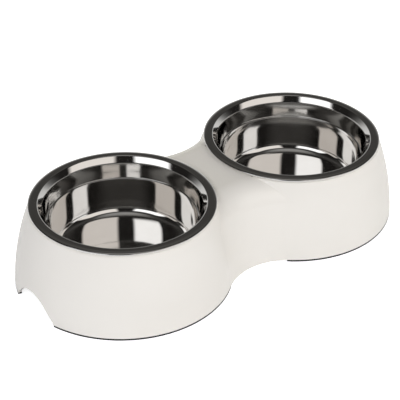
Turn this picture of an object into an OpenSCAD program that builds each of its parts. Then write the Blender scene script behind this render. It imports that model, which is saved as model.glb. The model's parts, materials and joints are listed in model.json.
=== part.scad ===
// Twin feeding bowl: a hollow moulded stand with a waist, two lift-out steel bowls and
// four anti-slip strips under the stand's edge.
// Origin: floor level at the middle of the stand. X runs through both bowls, Z is up.

/* [Overall] */
// Outer radius of a bowl's rolled rim
rim_r = 70; // [60:0.5:90]
// Gap between the two rims
rim_gap = 23; // [10:0.5:40]
// Height of the rim's top above the floor
rim_top = 66.5; // [60:0.5:80]
// Gap left under the rim where it sits on the stand
rest_gap = 0.2; // [0.1:0.05:0.4]

/* [Stand shell] */
// Distance by which the top edge stands out past a rim
edge_margin = -0.3; // [-0.8:0.1:3]
// Distance by which the foot stands out past the top edge
foot_spread = 13.3; // [8:0.5:20]
// Radius of the outward curve of the wall, seen from the side
wall_curve_r = 200; // [150:5:400]
// Thickness of the outer wall
wall_t = 3; // [2:0.1:4]
// Thickness of the deck that carries the bowls
deck_t = 3; // [2:0.1:4]
// Rounding of the top edge round each bowl
seat_edge_r = 1.5; // [1:0.5:4]
// Clearance between a bowl and the edge of its hole
bowl_clearance = 0.5; // [0.3:0.1:1]

/* [Waist between the bowls] */
// Distance from the middle of the stand to the centre of a waist curve
waist_offset = 102.5; // [90:0.5:130]
// Rounding of the top edge along the waist
waist_edge_r = 22; // [10:1:26]

/* [End arches] */
// Width of the finger arch at the floor
arch_w = 48; // [40:1:60]
// Height of the top of the arch above the floor
arch_top = 17.8; // [12:0.2:22]
// Rounding of the top of the arch
arch_round = 22; // [16:0.5:26]
// Lean of the arch's straight sides
arch_side_angle = 45; // [35:1:50]

/* [Steel bowls] */
// Thickness of the pressed sheet
sheet_t = 0.8; // [0.6:0.1:1]
// Depth of the bowl below its rim
bowl_depth = 46.4; // [36:0.2:50]
// Width of the rim's crown, from its outer edge to the lip
crown_w = 7; // [5:0.1:8]
// Inward run of the slanting lip
lip_run = 3.4; // [3:0.1:5]
// Drop of the slanting lip
lip_drop = 4.4; // [4:0.1:6]
// Height of the steep band under the lip
band_h = 12; // [10:0.1:15]
// Lean of the band from upright
band_angle = 11.4; // [8:0.2:14]
// Inward run of the small ledge under the band
ledge_run = 0.9; // [0.8:0.1:2]
// Drop of the small ledge
ledge_drop = 0.6; // [0.5:0.1:1.5]
// Lean of the cup's wall from upright
cup_angle = 5.6; // [3:0.2:8]
// Rounding between the lip and the band
lip_round = 3.1; // [1.5:0.1:4]
// Rounding of the ledge's outer corner
band_round = 0.8; // [0.4:0.1:1]
// Rounding of the ledge's inner edge
ledge_round = 1; // [1:0.1:1.2]
// Rounding between the cup's wall and the floor
floor_round = 6.7; // [4:0.1:9]
// Width of the flat ring round the pressed dome
dome_flat_w = 6; // [3:0.5:12]
// Rise of the pressed dome in the bowl's floor
dome_rise = 1.1; // [0.5:0.1:2]

/* [Rolled rim] */
// Height of the rolled rim
roll_h = 2.6; // [2.6:0.1:5]
// Rounding of the outer side of the roll
roll_round = 1.3; // [1:0.1:1.3]
// Rounding from the rim's crown into the lip
crown_round = 1.7; // [1:0.1:2.5]
// Length of the edge turned back under the roll
roll_return = 3.4; // [3:0.1:4]

/* [Foot strips] */
// Height of the strips below the stand's edge
strip_h = 1.6; // [1:0.1:2.5]
// Angle by which each strip runs on past the start of the waist
strip_waist_angle = 2.2; // [0:0.2:4]
// Width of the tongue held in the stand's edge
tongue_w = 1.2; // [0.8:0.1:1.6]
// Height of the tongue
tongue_h = 1.5; // [1:0.1:3]
// Clearance round the tongue
tongue_clearance = 0.1; // [0.05:0.05:0.2]
// Angle by which the tongue stops short of the strip's ends
tongue_inset_angle = 2; // [1:0.5:5]
// Rounding of the strip's lower edges
strip_round = 0.3; // [0.2:0.1:0.5]

/* [Hidden] */
$fn = 120;
dome_facets = 720;
overrun = 1;
// Hair by which blended faces cross, because faces that only touch leave slivers
blend_bite = 0.002;

half_turn = 180;
quarter_turn = 90;
half_spacing = rim_r + rim_gap / 2;
top_r = rim_r + edge_margin;
base_r = top_r + foot_spread;
stand_top = rim_top - roll_h - rest_gap;

// Centre of the wall's outward curve, through the foot and the top edge
wall_rise = stand_top - strip_h;
wall_lean = base_r - top_r;
wall_chord = norm([wall_lean, wall_rise]);
chord_reach = sqrt(pow(wall_curve_r, 2) - pow(wall_chord / 2, 2));
curve_x = (base_r + top_r) / 2 - chord_reach * wall_rise / wall_chord;
curve_z = (stand_top + strip_h) / 2 - chord_reach * wall_lean / wall_chord;

// The waist curves touch the round ends on lines between the curve centres
waist_reach = norm([half_spacing, waist_offset]);
waist_angle = atan2(waist_offset, half_spacing);
waist_half_sweep = quarter_turn - waist_angle;

crown_r = rim_r - crown_w;
seat_r = crown_r + sheet_t + bowl_clearance;

// The arch's sides would meet in a point above its rounded top
arch_half_w = arch_w / 2;
arch_point_z = arch_top - arch_round + arch_round / sin(arch_side_angle);
arch_knee_z = arch_point_z - arch_half_w / tan(arch_side_angle);
arch_bottom_z = min(0, arch_knee_z) - overrun;
arch_depth = base_r / 2;
inner_edge_r = seat_edge_r / 2;
corner_reach = sheet_t / 4;

// Each strip starts beside the arch and ends on the waist
strip_start_angle = asin(arch_half_w / (base_r - wall_t));
strip_sweep_angle = half_turn - waist_angle + strip_waist_angle - strip_start_angle;
tongue_r = base_r - wall_t / 2;
clearance_angle = atan(tongue_clearance / tongue_r);

bowl_floor = rim_top - bowl_depth;
lip_r = crown_r - lip_run;
lip_z = rim_top - lip_drop;
band_r = lip_r - band_h * tan(band_angle);
band_z = lip_z - band_h;
ledge_r = band_r - ledge_run;
ledge_z = band_z - ledge_drop;
floor_r = ledge_r - (ledge_z - bowl_floor) * tan(cup_angle);
dome_edge_r = floor_r - floor_round - dome_flat_w;
dome_r = (pow(dome_edge_r, 2) + pow(dome_rise, 2)) / (2 * dome_rise);

shell_colour = [0.93, 0.92, 0.88];
steel_colour = [0.78, 0.78, 0.77];
rubber_colour = [0.1, 0.1, 0.1];

function unit(v) = v / norm(v);
function wrapped(list, i) = list[(i + len(list)) % len(list)];
function spot(corner) = [corner[0], corner[1]];
function towards(corners, i, step) = unit(spot(wrapped(corners, i + step)) - spot(corners[i]));
function turning(corners, i) = cross(-towards(corners, i, -1), towards(corners, i, 1));
function half_angle(corners, i) = acos(towards(corners, i, -1) * towards(corners, i, 1)) / 2;
function touch(corners, i, step) =
  spot(corners[i]) + towards(corners, i, step) * corners[i][2] / tan(half_angle(corners, i));
function inward(corners, i) = unit(towards(corners, i, -1) + towards(corners, i, 1));
function round_centre(corners, i) =
  spot(corners[i]) + inward(corners, i) * corners[i][2] / sin(half_angle(corners, i));
function is_inner(corners, i) = corners[i][2] > 0 && turning(corners, i) < 0;

// Point moved sideways from a corner so that both neighbouring faces move by the same amount
function left_of(v) = [-v[1], v[0]];
function offset_spot(before, here, after, amount) =
  let (
    side_in = left_of(unit(here - before)),
    side_out = left_of(unit(after - here))
  )
  here + (side_in + side_out) * amount / (1 + side_in * side_out);

// Piece that an outer corner loses to its rounding
module outer_corner(corners, i) {
  centre = round_centre(corners, i);
  reach_share = 1 + corner_reach / corners[i][2];
  difference() {
    polygon([
      centre,
      centre + (touch(corners, i, -1) - centre) * reach_share,
      centre + (spot(corners[i]) - centre) * reach_share,
      centre + (touch(corners, i, 1) - centre) * reach_share
    ]);
    translate(centre) circle(r = corners[i][2] + blend_bite);
  }
}

// Disc that hollows out an inner corner, after a straight line has filled it
module inner_corner(corners, i) {
  translate(round_centre(corners, i)) circle(r = corners[i][2] + blend_bite);
}

// Closed outline whose corners are [across, up, rounding], listed anticlockwise
module rounded_outline(corners) {
  last = len(corners) - 1;
  difference() {
    polygon([
      for (i = [0 : last])
        each is_inner(corners, i) ? [touch(corners, i, -1), touch(corners, i, 1)] : [spot(corners[i])]
    ]);
    for (i = [0 : last]) {
      if (is_inner(corners, i)) inner_corner(corners, i);
      else if (corners[i][2] > 0) outer_corner(corners, i);
    }
  }
}

// Half section of a round end: upright at the foot, leaning in towards a rounded top edge
module wall_section(inset, bottom, top, edge_r) {
  curve_r = wall_curve_r - inset;
  round_z = top - edge_r;
  round_x = curve_x + sqrt(pow(curve_r - edge_r, 2) - pow(round_z - curve_z, 2));
  round_at = [round_x, round_z];
  meet = round_at + unit(round_at - [curve_x, curve_z]) * (edge_r + overrun);
  difference() {
    intersection() {
      translate([curve_x, curve_z]) circle(r = curve_r);
      translate([0, bottom]) square([base_r + overrun, top - bottom]);
    }
    difference() {
      polygon([round_at, [round_x, top + overrun], [meet[0] + overrun, top + overrun], meet]);
      translate(round_at) circle(r = edge_r + blend_bite);
    }
  }
}

// One long side of the waist: a hollow curve that runs into both round ends
module waist_side(inset, bottom, top, waist_edge) {
  intersection() {
    translate([0, waist_offset, 0])
      rotate([0, 0, -quarter_turn - waist_half_sweep])
        rotate_extrude(angle = 2 * waist_half_sweep)
          translate([waist_reach + blend_bite, 0])
            mirror([1, 0]) wall_section(inset, bottom, top, waist_edge);
    translate([-half_spacing, -overrun, bottom - overrun])
      cube([2 * half_spacing, waist_offset, top - bottom + 2 * overrun]);
  }
}

// Solid outline of the stand.
// The ends stay round all the way, so that each rim keeps its support along the rounded waist.
module peanut(inset, bottom, top, end_edge_r, waist_edge) {
  for (side = [0, half_turn]) {
    rotate([0, 0, side]) {
      translate([half_spacing, 0, 0]) rotate_extrude() wall_section(inset, bottom, top, end_edge_r);
      waist_side(inset, bottom, top, waist_edge);
    }
  }
}

// Slot in the stand's lower edge for one tongue, also used for the tongue itself
module tongue(clearance) {
  spare = clearance > 0 ? clearance_angle : 0;
  start_angle = strip_start_angle + tongue_inset_angle - spare;
  sweep = strip_sweep_angle - 2 * tongue_inset_angle + 2 * spare;
  rotate([0, 0, start_angle])
    rotate_extrude(angle = sweep)
      translate([tongue_r - tongue_w / 2 - clearance, strip_h - strip_round])
        square([tongue_w + 2 * clearance, tongue_h + strip_round + clearance]);
}

module at_each_strip() {
  for (side = [0, 1]) for (back = [0, 1])
    mirror([side, 0, 0]) mirror([0, back, 0]) translate([half_spacing, 0, 0]) children();
}

// Cutter for one finger arch, lying along X: upright feet, slanting sides and a rounded top
module arch_cutter() {
  translate([-arch_depth / 2, 0, 0])
    rotate([quarter_turn, 0, quarter_turn])
      linear_extrude(height = arch_depth)
        rounded_outline([
          [-arch_half_w, arch_bottom_z, 0],
          [arch_half_w, arch_bottom_z, 0],
          [arch_half_w, arch_knee_z, 0],
          [0, arch_point_z, arch_round],
          [-arch_half_w, arch_knee_z, 0]
        ]);
}

module stand_shell() {
  color(shell_colour)
  difference() {
    peanut(0, strip_h, stand_top, seat_edge_r, waist_edge_r);
    peanut(wall_t, strip_h - overrun, stand_top - deck_t, inner_edge_r, waist_edge_r - wall_t);
    for (side = [-1, 1]) {
      translate([side * half_spacing, 0, 0]) cylinder(r = seat_r, h = stand_top + overrun);
      translate([side * (half_spacing + base_r), 0, 0]) arch_cutter();
    }
    at_each_strip() tongue(tongue_clearance);
  }
}

// Upper face of the sheet from the floor of the bowl to the rim
inner_face = [
  [0, bowl_floor],
  [floor_r, bowl_floor],
  [ledge_r, ledge_z],
  [band_r, band_z],
  [lip_r, lip_z],
  [crown_r, rim_top],
  [rim_r, rim_top]
];
inner_rounding = [0, floor_round, ledge_round, band_round, lip_round, crown_round];
bends = [1 : len(inner_rounding) - 1];

// Matching point on the lower face of the sheet
function lower_face(i) = offset_spot(inner_face[i - 1], inner_face[i], inner_face[i + 1], -sheet_t);
// The sheet's lower face is rounder than the upper one where the bowl turns up and tighter elsewhere
function turns_up(i) = cross(inner_face[i] - inner_face[i - 1], inner_face[i + 1] - inner_face[i]) > 0;
function lower_rounding(i) = inner_rounding[i] + (turns_up(i) ? sheet_t : -sheet_t);

roll_corners = [
  [rim_r, rim_top - roll_h, roll_round],
  [rim_r, rim_top, roll_round]
];
roll_inner_round = roll_round - sheet_t;
roll_end_r = rim_r - roll_return;
under_roll_corners = [
  [rim_r - sheet_t, rim_top - sheet_t, roll_inner_round],
  [rim_r - sheet_t, rim_top - roll_h + sheet_t, roll_inner_round],
  [roll_end_r, rim_top - roll_h + sheet_t, 0],
  [roll_end_r, rim_top - roll_h, 0]
];
bowl_corners = concat(
  [[0, bowl_floor - sheet_t, 0]],
  [for (i = bends) [lower_face(i)[0], lower_face(i)[1], lower_rounding(i)]],
  under_roll_corners,
  roll_corners,
  [for (i = [len(inner_rounding) - 1 : -1 : 1]) [inner_face[i][0], inner_face[i][1], inner_rounding[i]]],
  [[0, bowl_floor, 0]]
);

// Slightly raised middle of the bowl's floor
module dome(radius, bottom) {
  intersection() {
    translate([0, bowl_floor + dome_rise - dome_r]) circle(r = radius, $fn = dome_facets);
    translate([0, bottom]) square([dome_edge_r + overrun, dome_rise + 2 * overrun]);
  }
}

module bowl_section() {
  difference() {
    union() {
      rounded_outline(bowl_corners);
      dome(dome_r, bowl_floor - sheet_t / 2);
    }
    dome(dome_r - sheet_t, bowl_floor - sheet_t - overrun);
  }
}

module steel_bowl() {
  color(steel_colour) rotate_extrude() bowl_section();
}

module bowl_left() {
  translate([-half_spacing, 0, 0]) steel_bowl();
}

module bowl_right() {
  translate([half_spacing, 0, 0]) steel_bowl();
}

strip_corners = [
  [base_r - wall_t, 0, strip_round],
  [base_r, 0, strip_round],
  [base_r, strip_h, 0],
  [base_r - wall_t, strip_h, 0]
];

module foot_strip() {
  color(rubber_colour)
  union() {
    rotate([0, 0, strip_start_angle])
      rotate_extrude(angle = strip_sweep_angle) rounded_outline(strip_corners);
    tongue(0);
  }
}

module foot_left_front() {
  rotate([0, 0, half_turn]) translate([half_spacing, 0, 0]) foot_strip();
}

module foot_left_back() {
  mirror([1, 0, 0]) translate([half_spacing, 0, 0]) foot_strip();
}

module foot_right_front() {
  mirror([0, 1, 0]) translate([half_spacing, 0, 0]) foot_strip();
}

module foot_right_back() {
  translate([half_spacing, 0, 0]) foot_strip();
}

stand_shell();
bowl_left();
bowl_right();
foot_left_front();
foot_left_back();
foot_right_front();
foot_right_back();
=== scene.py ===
"""Double pet bowl: looks, floor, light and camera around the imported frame. Metres, Z up."""
import json
import math
import bpy
from mathutils import Matrix, Vector


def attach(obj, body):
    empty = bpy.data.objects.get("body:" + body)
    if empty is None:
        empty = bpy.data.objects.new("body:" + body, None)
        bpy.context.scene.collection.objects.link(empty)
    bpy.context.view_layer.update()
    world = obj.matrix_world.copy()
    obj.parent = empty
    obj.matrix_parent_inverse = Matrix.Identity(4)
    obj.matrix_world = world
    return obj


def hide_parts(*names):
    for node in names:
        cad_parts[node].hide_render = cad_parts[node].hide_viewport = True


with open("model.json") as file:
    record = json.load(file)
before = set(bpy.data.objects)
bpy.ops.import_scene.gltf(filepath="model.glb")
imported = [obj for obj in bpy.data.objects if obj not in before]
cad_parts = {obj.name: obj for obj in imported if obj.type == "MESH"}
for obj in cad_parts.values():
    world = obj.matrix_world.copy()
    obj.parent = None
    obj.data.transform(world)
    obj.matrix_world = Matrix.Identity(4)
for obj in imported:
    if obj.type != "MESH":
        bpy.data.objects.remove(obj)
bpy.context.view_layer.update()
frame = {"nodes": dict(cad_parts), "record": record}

scene = bpy.context.scene
scene.view_settings.view_transform = "Standard"

# Camera, fitted to both rims and both foot circles of the photograph
IMAGE_PX = 400
FOCAL_PX = 1402.7
SENSOR_MM = 36.0
CAMERA_AT = (-0.5641, -0.7240, 0.6288)
CAMERA_AZIMUTH = math.radians(-37.450)
CAMERA_ELEVATION = math.radians(32.926)
CAMERA_ROLL = math.radians(0.472)
CLIP_NEAR = 0.05
CLIP_FAR = 30.0

# Bowl centres along X
BOWL_X = 0.0815


# ---------------------------------------------------------------- node helpers
class Nodes:
    """Short calls for building a node tree."""

    def __init__(self, tree):
        self.tree = tree
        tree.nodes.clear()

    def add(self, kind, **settings):
        node = self.tree.nodes.new(kind)
        for name, value in settings.items():
            setattr(node, name, value)
        return node

    def set(self, socket, value):
        """Link another node's output to the socket, or give the socket a constant."""
        if isinstance(value, bpy.types.NodeSocket):
            self.tree.links.new(value, socket)
        else:
            socket.default_value = value

    def put(self, node, **values):
        """Set sockets by name, with _ for each space."""
        for name, value in values.items():
            self.set(node.inputs[name.replace("_", " ")], value)

    def math(self, operation, *values):
        node = self.add("ShaderNodeMath", operation=operation)
        for socket, value in zip(node.inputs, values):
            self.set(socket, value)
        return node.outputs[0]

    def map_range(self, value, span, to):
        node = self.add("ShaderNodeMapRange")
        self.put(node, Value=value, From_Min=span[0], From_Max=span[1], To_Min=to[0], To_Max=to[1])
        return node.outputs["Result"]

    def ramp(self, value, stops):
        node = self.add("ShaderNodeValToRGB")
        elements = node.color_ramp.elements
        while len(elements) < len(stops):
            elements.new(1.0)
        for element, (at, colour) in zip(elements, stops):
            element.position = at
            element.color = (*colour, 1.0)
        self.put(node, Fac=value)
        return node.outputs["Color"]

    def noise(self, vector, scale, detail, roughness):
        node = self.add("ShaderNodeTexNoise")
        self.put(node, Vector=vector, Scale=scale, Detail=detail, Roughness=roughness)
        return node.outputs["Fac"]

    def bump(self, height, distance, strength, normal=None):
        node = self.add("ShaderNodeBump")
        self.put(node, Height=height, Distance=distance, Strength=strength)
        if normal is not None:
            self.put(node, Normal=normal)
        return node.outputs["Normal"]

    def show(self, output_kind, shader):
        """Give the tree its output."""
        self.put(self.add(output_kind), Surface=shader)


def new_material(name):
    material = bpy.data.materials.new(name)
    material.use_nodes = True
    return material, Nodes(material.node_tree)


# ---------------------------------------------------------------- materials
# A noise lies mostly between the two values of its span, over which a colour or roughness runs
NOISE_SPAN = (0.3, 0.7)

# Melamine: a faint cloudiness of colour and gloss, and a fine grain
SHELL_CLOUD = {"scale": 14.0, "detail": 3.0, "roughness": 0.5}
SHELL_GRAIN = {"scale": 900.0, "detail": 2.0, "roughness": 0.5}
SHELL_DARKER = (0.800, 0.768, 0.708)
SHELL_PALER = (0.826, 0.796, 0.738)
SHELL_ROUGHNESS = (0.20, 0.25)
SHELL_GRAIN_ROUGHNESS = (-0.012, 0.012)
SHELL_GRAIN_BUMP = {"distance": 0.00002, "strength": 0.35}
SHELL_IOR = 1.5

# Steel: fine turned lines of the polishing, smears in the gloss and a slight waviness
STEEL_SMEAR = {"scale": 45.0, "detail": 3.0, "roughness": 0.55}
STEEL_LINES = {"scale": 1.0, "detail": 2.0, "roughness": 0.6}
STEEL_WAVE = {"scale": 60.0, "detail": 1.0, "roughness": 0.4}
STEEL_LINES_PER_M = 2600.0
STEEL_DARKER = (0.735, 0.724, 0.710)
STEEL_PALER = (0.765, 0.756, 0.744)
STEEL_SMEAR_SPAN = (0.3, 0.75)
STEEL_ROUGHNESS = (0.035, 0.075)
STEEL_LINE_ROUGHNESS = (0.0, 0.02)
STEEL_WAVE_BUMP = {"distance": 0.00005, "strength": 0.25}
STEEL_LINE_BUMP = {"distance": 0.000002, "strength": 0.3}

# Rubber: matt, with a grain and dust in it
RUBBER_GRAIN = {"scale": 1400.0, "detail": 3.0, "roughness": 0.6}
RUBBER_DUST = {"scale": 90.0, "detail": 4.0, "roughness": 0.6}
RUBBER_DARKER = (0.010, 0.010, 0.010)
RUBBER_PALER = (0.022, 0.021, 0.020)
RUBBER_COLOUR_SPAN = (0.35, 0.8)
RUBBER_ROUGHNESS_SPAN = (0.3, 0.8)
RUBBER_ROUGHNESS = (0.6, 0.8)
RUBBER_GRAIN_BUMP = {"distance": 0.00008, "strength": 0.6}
RUBBER_SPECULAR = 0.25


def shell_material():
    material, n = new_material("shell_gloss")
    shader = n.add("ShaderNodeBsdfPrincipled")
    place = n.add("ShaderNodeTexCoord").outputs["Object"]
    cloud = n.noise(place, **SHELL_CLOUD)
    grain = n.noise(place, **SHELL_GRAIN)
    n.put(
        shader,
        Base_Color=n.ramp(cloud, tuple(zip(NOISE_SPAN, (SHELL_DARKER, SHELL_PALER)))),
        Roughness=n.math(
            "ADD",
            n.map_range(cloud, NOISE_SPAN, SHELL_ROUGHNESS),
            n.map_range(grain, NOISE_SPAN, SHELL_GRAIN_ROUGHNESS)),
        Normal=n.bump(grain, **SHELL_GRAIN_BUMP),
        IOR=SHELL_IOR)
    n.show("ShaderNodeOutputMaterial", shader.outputs["BSDF"])
    return material


def steel_material():
    material, n = new_material("steel_polished")
    shader = n.add("ShaderNodeBsdfPrincipled")
    place = n.add("ShaderNodeTexCoord").outputs["Object"]
    parts = n.add("ShaderNodeSeparateXYZ")
    n.put(parts, Vector=place)
    x, y, z = parts.outputs
    across = n.math("SUBTRACT", n.math("ABSOLUTE", x), BOWL_X)
    radius = n.math(
        "SQRT", n.math("ADD", n.math("MULTIPLY", across, across), n.math("MULTIPLY", y, y)))
    # Radius and height alone place the lines, so they run round the bowl
    turned_place = n.add("ShaderNodeCombineXYZ")
    n.put(
        turned_place,
        X=n.math("MULTIPLY", radius, STEEL_LINES_PER_M),
        Y=n.math("MULTIPLY", z, STEEL_LINES_PER_M))
    lines = n.noise(turned_place.outputs["Vector"], **STEEL_LINES)
    smear = n.noise(place, **STEEL_SMEAR)
    wavy = n.bump(n.noise(place, **STEEL_WAVE), **STEEL_WAVE_BUMP)
    n.put(
        shader,
        Base_Color=n.ramp(smear, tuple(zip(NOISE_SPAN, (STEEL_DARKER, STEEL_PALER)))),
        Metallic=1.0,
        Roughness=n.math(
            "ADD",
            n.map_range(smear, STEEL_SMEAR_SPAN, STEEL_ROUGHNESS),
            n.map_range(lines, NOISE_SPAN, STEEL_LINE_ROUGHNESS)),
        Normal=n.bump(lines, **STEEL_LINE_BUMP, normal=wavy))
    n.show("ShaderNodeOutputMaterial", shader.outputs["BSDF"])
    return material


def rubber_material():
    material, n = new_material("foot_rubber")
    shader = n.add("ShaderNodeBsdfPrincipled")
    place = n.add("ShaderNodeTexCoord").outputs["Object"]
    grain = n.noise(place, **RUBBER_GRAIN)
    dust = n.noise(place, **RUBBER_DUST)
    n.put(
        shader,
        Base_Color=n.ramp(dust, tuple(zip(RUBBER_COLOUR_SPAN, (RUBBER_DARKER, RUBBER_PALER)))),
        Roughness=n.map_range(dust, RUBBER_ROUGHNESS_SPAN, RUBBER_ROUGHNESS),
        Normal=n.bump(grain, **RUBBER_GRAIN_BUMP),
        Specular_IOR_Level=RUBBER_SPECULAR)
    n.show("ShaderNodeOutputMaterial", shader.outputs["BSDF"])
    return material


SLOTS = {"shell": shell_material(), "steel": steel_material(), "foot": rubber_material()}
for row in frame["record"]["subparts"]:
    piece = frame["nodes"][row["node"]]
    piece.data.materials.clear()
    piece.data.materials.append(SLOTS[row["material_slot"]])


# ---------------------------------------------------------------- steel bowls
# Section of the bowl, in millimetres. The upper face of the sheet runs from the floor to the
# rim, and its values come from the mirror images of the softboxes in the photograph.
MM = 0.001
SHEET_T = 0.8
# Rim: its outer radius and top, and the inner edge of its crown
RIM_R = 70.0
RIM_TOP = 66.5
CROWN_R = 62.98
CROWN_ROUND = 1.68
# Lip: slants down from the crown to the band
LIP_RUN = 3.46
LIP_DROP = 4.52
LIP_ROUND = 3.48
# Band: steep, in an upper and a lower length, and leaning in towards the bottom
BAND_ANGLE = math.radians(11.4)
BAND_UPPER_H = 6.79
BAND_LOWER_H = 5.1
BAND_ROUND = 0.58
# Ledge between the band and the cup
LEDGE_RUN = 0.93
LEDGE_DROP = 0.64
LEDGE_ROUND = 0.21
# Cup, and a floor that rises to its middle
CUP_ANGLE = math.radians(5.55)
BOWL_DEPTH = 46.42
FLOOR_ROUND = 6.75
DOME_SHARE = 0.87
DOME_RISE = 1.2
# Roll of the rim, with its edge turned back
ROLL_H = 2.6
ROLL_ROUND = 1.3
ROLL_RETURN = 3.4
CROWN_FALL = 4.0
# Least rounding of the under face, and least distance between two points of the line
LEAST_ROUND = 0.1
LEAST_STEP = 0.004
# Each arc of the section is few rings, which smooth shading eases into the straight parts
UPPER_ARC_RINGS = 7
LOWER_ARC_RINGS = 4
FALL_RINGS = 12
DOME_RINGS = 4
SECTORS = 240
SHARP_ANGLE = math.radians(50)


def unit(a, b):
    return (Vector(b[:2]) - Vector(a[:2])).normalized()


def rounded(corners, arc_rings):
    """Open line through corners (across, up, rounding), each turned into an arc."""
    points = [Vector(corners[0][:2])]
    for before, corner, after in zip(corners, corners[1:], corners[2:]):
        here = Vector(corner[:2])
        if corner[2] == 0:
            points.append(here)
            continue
        back, ahead = unit(corner, before), unit(corner, after)
        half = back.angle(ahead) / 2
        centre = here + (back + ahead).normalized() * (corner[2] / math.sin(half))
        spoke = here + back * (corner[2] / math.tan(half)) - centre
        turn = math.copysign(math.pi - 2 * half, -back.cross(ahead))
        points += [
            centre + Matrix.Rotation(turn * k / arc_rings, 2) @ spoke for k in range(arc_rings + 1)]
    points.append(Vector(corners[-1][:2]))
    return points


def upper_corners():
    """Corners of the sheet's upper face, from the floor to the rim's outer edge."""
    floor_z = RIM_TOP - BOWL_DEPTH
    lip = (CROWN_R - LIP_RUN, RIM_TOP - LIP_DROP)
    band_mid = (lip[0] - BAND_UPPER_H * math.tan(BAND_ANGLE), lip[1] - BAND_UPPER_H)
    band = (band_mid[0] - BAND_LOWER_H * math.tan(BAND_ANGLE), band_mid[1] - BAND_LOWER_H)
    ledge = (band[0] - LEDGE_RUN, band[1] - LEDGE_DROP)
    floor_r = ledge[0] - (ledge[1] - floor_z) * math.tan(CUP_ANGLE)
    return [
        ((floor_r - FLOOR_ROUND) * DOME_SHARE, floor_z, 0.0),
        (floor_r, floor_z, FLOOR_ROUND),
        (*ledge, LEDGE_ROUND),
        (*band, BAND_ROUND),
        (*band_mid, 0.0),
        (*lip, LIP_ROUND),
        (CROWN_R, RIM_TOP, CROWN_ROUND),
        (RIM_R, RIM_TOP, ROLL_ROUND),
    ]


def lower_corners(upper):
    """Corners of the sheet's under face, one thickness away from the upper face."""
    lower = [(upper[0][0], upper[0][1] - SHEET_T, 0.0)]
    for before, here, after in zip(upper, upper[1:], upper[2:]):
        into, out = unit(before, here), unit(here, after)
        side_in, side_out = Vector((into.y, -into.x)), Vector((out.y, -out.x))
        spot = Vector(here[:2]) + (side_in + side_out) * SHEET_T / (1 + side_in.dot(side_out))
        grow = math.copysign(SHEET_T, into.cross(out))
        lower.append((spot.x, spot.y, max(here[2] + grow, LEAST_ROUND) if here[2] else 0.0))
    return lower


def bowl_outline():
    """Section from the middle of the underside, round the rim, to the middle of the floor."""
    upper = upper_corners()
    dome_r, floor_z = upper[0][:2]
    under_roll = ROLL_ROUND - SHEET_T
    end_r = RIM_R - ROLL_RETURN
    low = lower_corners(upper) + [
        (RIM_R - SHEET_T, RIM_TOP - SHEET_T, under_roll),
        (RIM_R - SHEET_T, RIM_TOP - ROLL_H + SHEET_T, under_roll),
        (end_r, RIM_TOP - ROLL_H + SHEET_T, 0.0),
        (end_r, RIM_TOP - ROLL_H, 0.0),
        (RIM_R, RIM_TOP - ROLL_H, ROLL_ROUND),
        (RIM_R, RIM_TOP - ROLL_ROUND, 0.0),
    ]
    # The crown falls towards its outer edge as a quarter of an ellipse
    fall = [
        Vector((RIM_R - CROWN_FALL * (1 - math.cos(a)), RIM_TOP - ROLL_ROUND * (1 - math.sin(a))))
        for a in (math.pi / 2 * k / FALL_RINGS for k in range(1, FALL_RINGS))]
    high = [(RIM_R - CROWN_FALL, RIM_TOP, 0.0)] + upper[-2::-1]
    dome = [
        Vector((dome_r * k / DOME_RINGS, floor_z + DOME_RISE * (1 - (k / DOME_RINGS) ** 2)))
        for k in range(DOME_RINGS)]
    line = [point - Vector((0.0, SHEET_T)) for point in dome]
    line += rounded(low, LOWER_ARC_RINGS) + fall + rounded(high, UPPER_ARC_RINGS) + dome[::-1]
    beyond = Vector((-1.0, 0.0))
    return [a for a, b in zip(line, line[1:] + [beyond]) if (a - b).length > LEAST_STEP]


def circle(radius, height, sectors, centre_x=0.0):
    """Points of a level circle."""
    turns = (2 * math.pi * k / sectors for k in range(sectors))
    return [(centre_x + radius * math.cos(a), radius * math.sin(a), height) for a in turns]


def new_object(name, points, faces):
    mesh = bpy.data.meshes.new(name)
    mesh.from_pydata(points, [], faces)
    made = bpy.data.objects.new(name, mesh)
    scene.collection.objects.link(made)
    return made


def turned(name, line, centre_x):
    """Solid of revolution round the upright line at centre_x; the outline starts and ends on it."""
    points = [(centre_x, 0.0, line[0].y * MM)]
    for point in line[1:-1]:
        points += circle(point.x * MM, point.y * MM, SECTORS, centre_x)
    points.append((centre_x, 0.0, line[-1].y * MM))
    rings = len(line) - 2
    last = 1 + (rings - 1) * SECTORS
    faces = []
    for k in range(SECTORS):
        after = (k + 1) % SECTORS
        faces.append((0, 1 + after, 1 + k))
        for ring in range(rings - 1):
            low = 1 + ring * SECTORS
            high = low + SECTORS
            faces.append((low + k, low + after, high + after, high + k))
        faces.append((last + k, last + after, len(points) - 1))
    made = new_object(name, points, faces)
    made.data.polygons.foreach_set("use_smooth", [True] * len(faces))
    made.data.set_sharp_from_angle(angle=SHARP_ANGLE)
    made.data.materials.append(SLOTS["steel"])
    return made


outline = bowl_outline()
for side, centre_x in (("left", -BOWL_X), ("right", BOWL_X)):
    bowl = turned("turned_bowl_" + side, outline, centre_x)
    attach(bowl, side + "_bowl")
    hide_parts("bowl_" + side)


# ---------------------------------------------------------------- stage
FLOOR_R = 4.0
FLOOR_Z = -0.0002
FLOOR_RINGS = 24
FLOOR_SECTORS = 96
FLOOR_COLOUR = (0.86, 0.86, 0.86, 1.0)
FLOOR_ROUGHNESS = 0.9
# What the floor adds to its own light: for the camera over a span of distances from the middle
# of the object, and for the steel
GLOW_SPAN = (0.4, 1.2)
GLOW_SEEN = (0.75, 1.0)
GLOW_MIRRORED = 0.30


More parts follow.
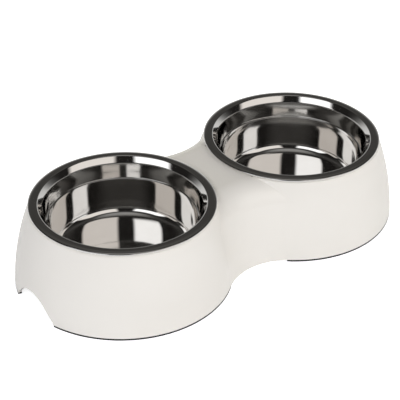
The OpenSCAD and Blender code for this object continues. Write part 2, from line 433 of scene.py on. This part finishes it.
def floor_material():
    material, n = new_material("floor_white")
    shader = n.add("ShaderNodeBsdfPrincipled")
    n.put(shader, Base_Color=FLOOR_COLOUR, Roughness=FLOOR_ROUGHNESS)
    reach = n.add("ShaderNodeVectorMath", operation="LENGTH")
    n.set(reach.inputs[0], n.add("ShaderNodeTexCoord").outputs["Object"])
    ray = n.add("ShaderNodeLightPath").outputs
    glow_seen = n.map_range(reach.outputs["Value"], GLOW_SPAN, GLOW_SEEN)
    seen = n.math("MULTIPLY", ray["Is Camera Ray"], glow_seen)
    glow = n.add("ShaderNodeEmission")
    n.put(glow, Strength=n.math("MULTIPLY_ADD", ray["Is Glossy Ray"], GLOW_MIRRORED, seen))
    total = n.add("ShaderNodeAddShader")
    n.set(total.inputs[0], shader.outputs["BSDF"])
    n.set(total.inputs[1], glow.outputs["Emission"])
    n.show("ShaderNodeOutputMaterial", total.outputs["Shader"])
    return material


def disc(name, radius, height, rings, sectors):
    """Round sheet, so that its edge is smooth."""
    points = [(0.0, 0.0, height)]
    for ring in range(1, rings + 1):
        points += circle(radius * ring / rings, height, sectors)
    faces = [(0, 1 + k, 1 + (k + 1) % sectors) for k in range(sectors)]
    for ring in range(1, rings):
        low = 1 + (ring - 1) * sectors
        high = low + sectors
        for k in range(sectors):
            after = (k + 1) % sectors
            faces.append((low + k, high + k, high + after, low + after))
    return new_object(name, points, faces)


floor = disc("floor", FLOOR_R, FLOOR_Z, FLOOR_RINGS, FLOOR_SECTORS)
floor.data.materials.append(floor_material())

# ---------------------------------------------------------------- world
# Axes of the level ground, seen from the camera
AHEAD = (math.sin(-CAMERA_AZIMUTH), math.cos(-CAMERA_AZIMUTH), 0.0)
RIGHT = (math.cos(-CAMERA_AZIMUTH), -math.sin(-CAMERA_AZIMUTH), 0.0)
UP = (0.0, 0.0, 1.0)

# What the steel and the gloss mirror: a pale backdrop beyond the object and a dim room behind
# the camera, both by the sine of the elevation
BACKDROP = (
    (0.0, (0.80, 0.80, 0.79)),
    (0.17, (0.62, 0.62, 0.61)),
    (0.30, (0.22, 0.218, 0.212)),
    (0.42, (0.064, 0.062, 0.059)),
    (0.60, (0.050, 0.048, 0.045)),
    (0.80, (0.090, 0.087, 0.082)),
    (0.93, (0.060, 0.058, 0.055)),
    (0.985, (0.300, 0.295, 0.285)),
)
ROOM = (
    (0.0, (0.52, 0.52, 0.51)),
    (0.06, (0.44, 0.44, 0.43)),
    (0.13, (0.080, 0.078, 0.075)),
    (0.20, (0.016, 0.015, 0.014)),
    (0.80, (0.016, 0.015, 0.014)),
    (0.93, (0.060, 0.058, 0.055)),
    (0.985, (0.300, 0.295, 0.285)),
)
# Share of a direction that points ahead, over which the room gives way to the backdrop
BACKDROP_SPAN = (0.1, 0.6)
# The two softboxes in the room: azimuth from behind the camera, positive to the right, from and
# to, elevation from and to, all in degrees, and colour
LEFT_LIGHT = (1.50, 1.50, 1.50)
RIGHT_LIGHT = (0.97, 0.92, 0.87)
SOFTBOXES = (
    (-68.5, -16.4, 20.9, 52.3, LEFT_LIGHT),
    (13.9, 82.1, 20.8, 59.4, RIGHT_LIGHT),
)
# Half the width of their soft edges, in degrees
SOFT_AZIMUTH = 3.0
SOFT_ELEVATION = 2.0
# Colour of the world as light on the object, and as the camera's background
WORLD_LIGHT = (0.12, 0.12, 0.12)
WORLD_SEEN = (1.0, 1.0, 1.0)

world = bpy.data.worlds.new("studio")
scene.world = world
world.use_nodes = True
# Only rays that leave a surface look the world up, so each kind of ray gets its own colour
world.cycles.sampling_method = "NONE"
w = Nodes(world.node_tree)
direction = w.add("ShaderNodeTexCoord").outputs["Generated"]


def along(axis):
    node = w.add("ShaderNodeVectorMath", operation="DOT_PRODUCT")
    w.set(node.inputs[0], direction)
    w.set(node.inputs[1], axis)
    return node.outputs["Value"]


def background(colour):
    node = w.add("ShaderNodeBackground")
    w.put(node, Color=colour)
    return node.outputs["Background"]


def choose(factor, no, yes):
    node = w.add("ShaderNodeMixShader")
    for socket, value in zip(node.inputs, (factor, no, yes)):
        w.set(socket, value)
    return node.outputs["Shader"]


def between(value, low, high, soft):
    """1 between two angles in degrees, with soft edges."""
    edges = [[math.radians(angle + k * soft) for k in (-1, 1)] for angle in (low, high)]
    up = w.map_range(value, edges[0], (0.0, 1.0))
    down = w.map_range(value, edges[1], (1.0, 0.0))
    return w.math("MULTIPLY", up, down)


ahead = along(AHEAD)
rise = along(UP)
# Azimuth of a direction, measured from behind the camera and positive to the right
azimuth = w.math("ARCTAN2", along(RIGHT), w.math("MULTIPLY", ahead, -1.0))
elevation = w.math("ARCSINE", rise)
mirrored = choose(
    w.map_range(ahead, BACKDROP_SPAN, (0.0, 1.0)),
    background(w.ramp(rise, ROOM)),
    background(w.ramp(rise, BACKDROP)))
for start, end, low, high, colour in SOFTBOXES:
    inside = w.math(
        "MULTIPLY",
        between(azimuth, start, end, SOFT_AZIMUTH),
        between(elevation, low, high, SOFT_ELEVATION))
    mirrored = choose(inside, mirrored, background((*colour, 1.0)))
ray = w.add("ShaderNodeLightPath").outputs
unseen = choose(ray["Is Diffuse Ray"], mirrored, background((*WORLD_LIGHT, 1.0)))
w.show(
    "ShaderNodeOutputWorld",
    choose(ray["Is Camera Ray"], unseen, background((*WORLD_SEEN, 1.0))))

# ---------------------------------------------------------------- lamps
# The world shows the softboxes to mirror rays; these lamps are their light and the fill.
# Azimuth from the view direction, positive to the right, elevation, spans across and up, all
# in degrees, and radiance
LAMP_DISTANCE = 2.6
LAMPS = {
    "softbox_left": (-137.75, 36.15, 42.9, 30.7, LEFT_LIGHT),
    "softbox_right": (131.95, 40.05, 55.4, 38.5, RIGHT_LIGHT),
    "fill_front": (180.0, 25.0, 60.0, 40.0, (1.80, 1.85, 1.98)),
    "fill_left": (-90.0, 25.0, 50.0, 40.0, (0.64, 0.64, 0.72)),
    "fill_right": (90.0, 25.0, 50.0, 40.0, (1.52, 1.53, 1.57)),
    "fill_back": (0.0, 12.0, 70.0, 22.0, (2.75, 2.66, 2.05)),
}


def panel(name, azimuth, elevation, span_across, span_up, radiance):
    """Area lamp that faces the object and that mirrors don't show."""
    turn = math.radians(azimuth) - CAMERA_AZIMUTH
    lift = math.radians(elevation)
    towards = Vector((
        math.sin(turn) * math.cos(lift), math.cos(turn) * math.cos(lift), math.sin(lift)))
    data = bpy.data.lights.new(name, "AREA")
    data.shape = "RECTANGLE"
    data.size = 2 * LAMP_DISTANCE * math.tan(math.radians(span_across) / 2)
    data.size_y = 2 * LAMP_DISTANCE * math.tan(math.radians(span_up) / 2)
    data.energy = max(radiance) * math.pi * data.size * data.size_y
    data.color = [value / max(radiance) for value in radiance]
    lamp = bpy.data.objects.new(name, data)
    scene.collection.objects.link(lamp)
    facing = towards.to_track_quat("Z", "Y").to_matrix().to_4x4()
    lamp.matrix_world = Matrix.Translation(towards * LAMP_DISTANCE) @ facing
    lamp.visible_glossy = False


for name, values in LAMPS.items():
    panel(name, *values)

# ---------------------------------------------------------------- camera
camera_data = bpy.data.cameras.new("camera")
camera_data.sensor_fit = "HORIZONTAL"
camera_data.sensor_width = SENSOR_MM
camera_data.lens = FOCAL_PX * SENSOR_MM / IMAGE_PX
camera_data.clip_start = CLIP_NEAR
camera_data.clip_end = CLIP_FAR
camera = bpy.data.objects.new("camera", camera_data)
scene.collection.objects.link(camera)
camera.matrix_world = (
    Matrix.Translation(CAMERA_AT)
    @ Matrix.Rotation(CAMERA_AZIMUTH, 4, "Z")
    @ Matrix.Rotation(math.pi / 2 - CAMERA_ELEVATION, 4, "X")
    @ Matrix.Rotation(CAMERA_ROLL, 4, "Z")
)
scene.camera = camera
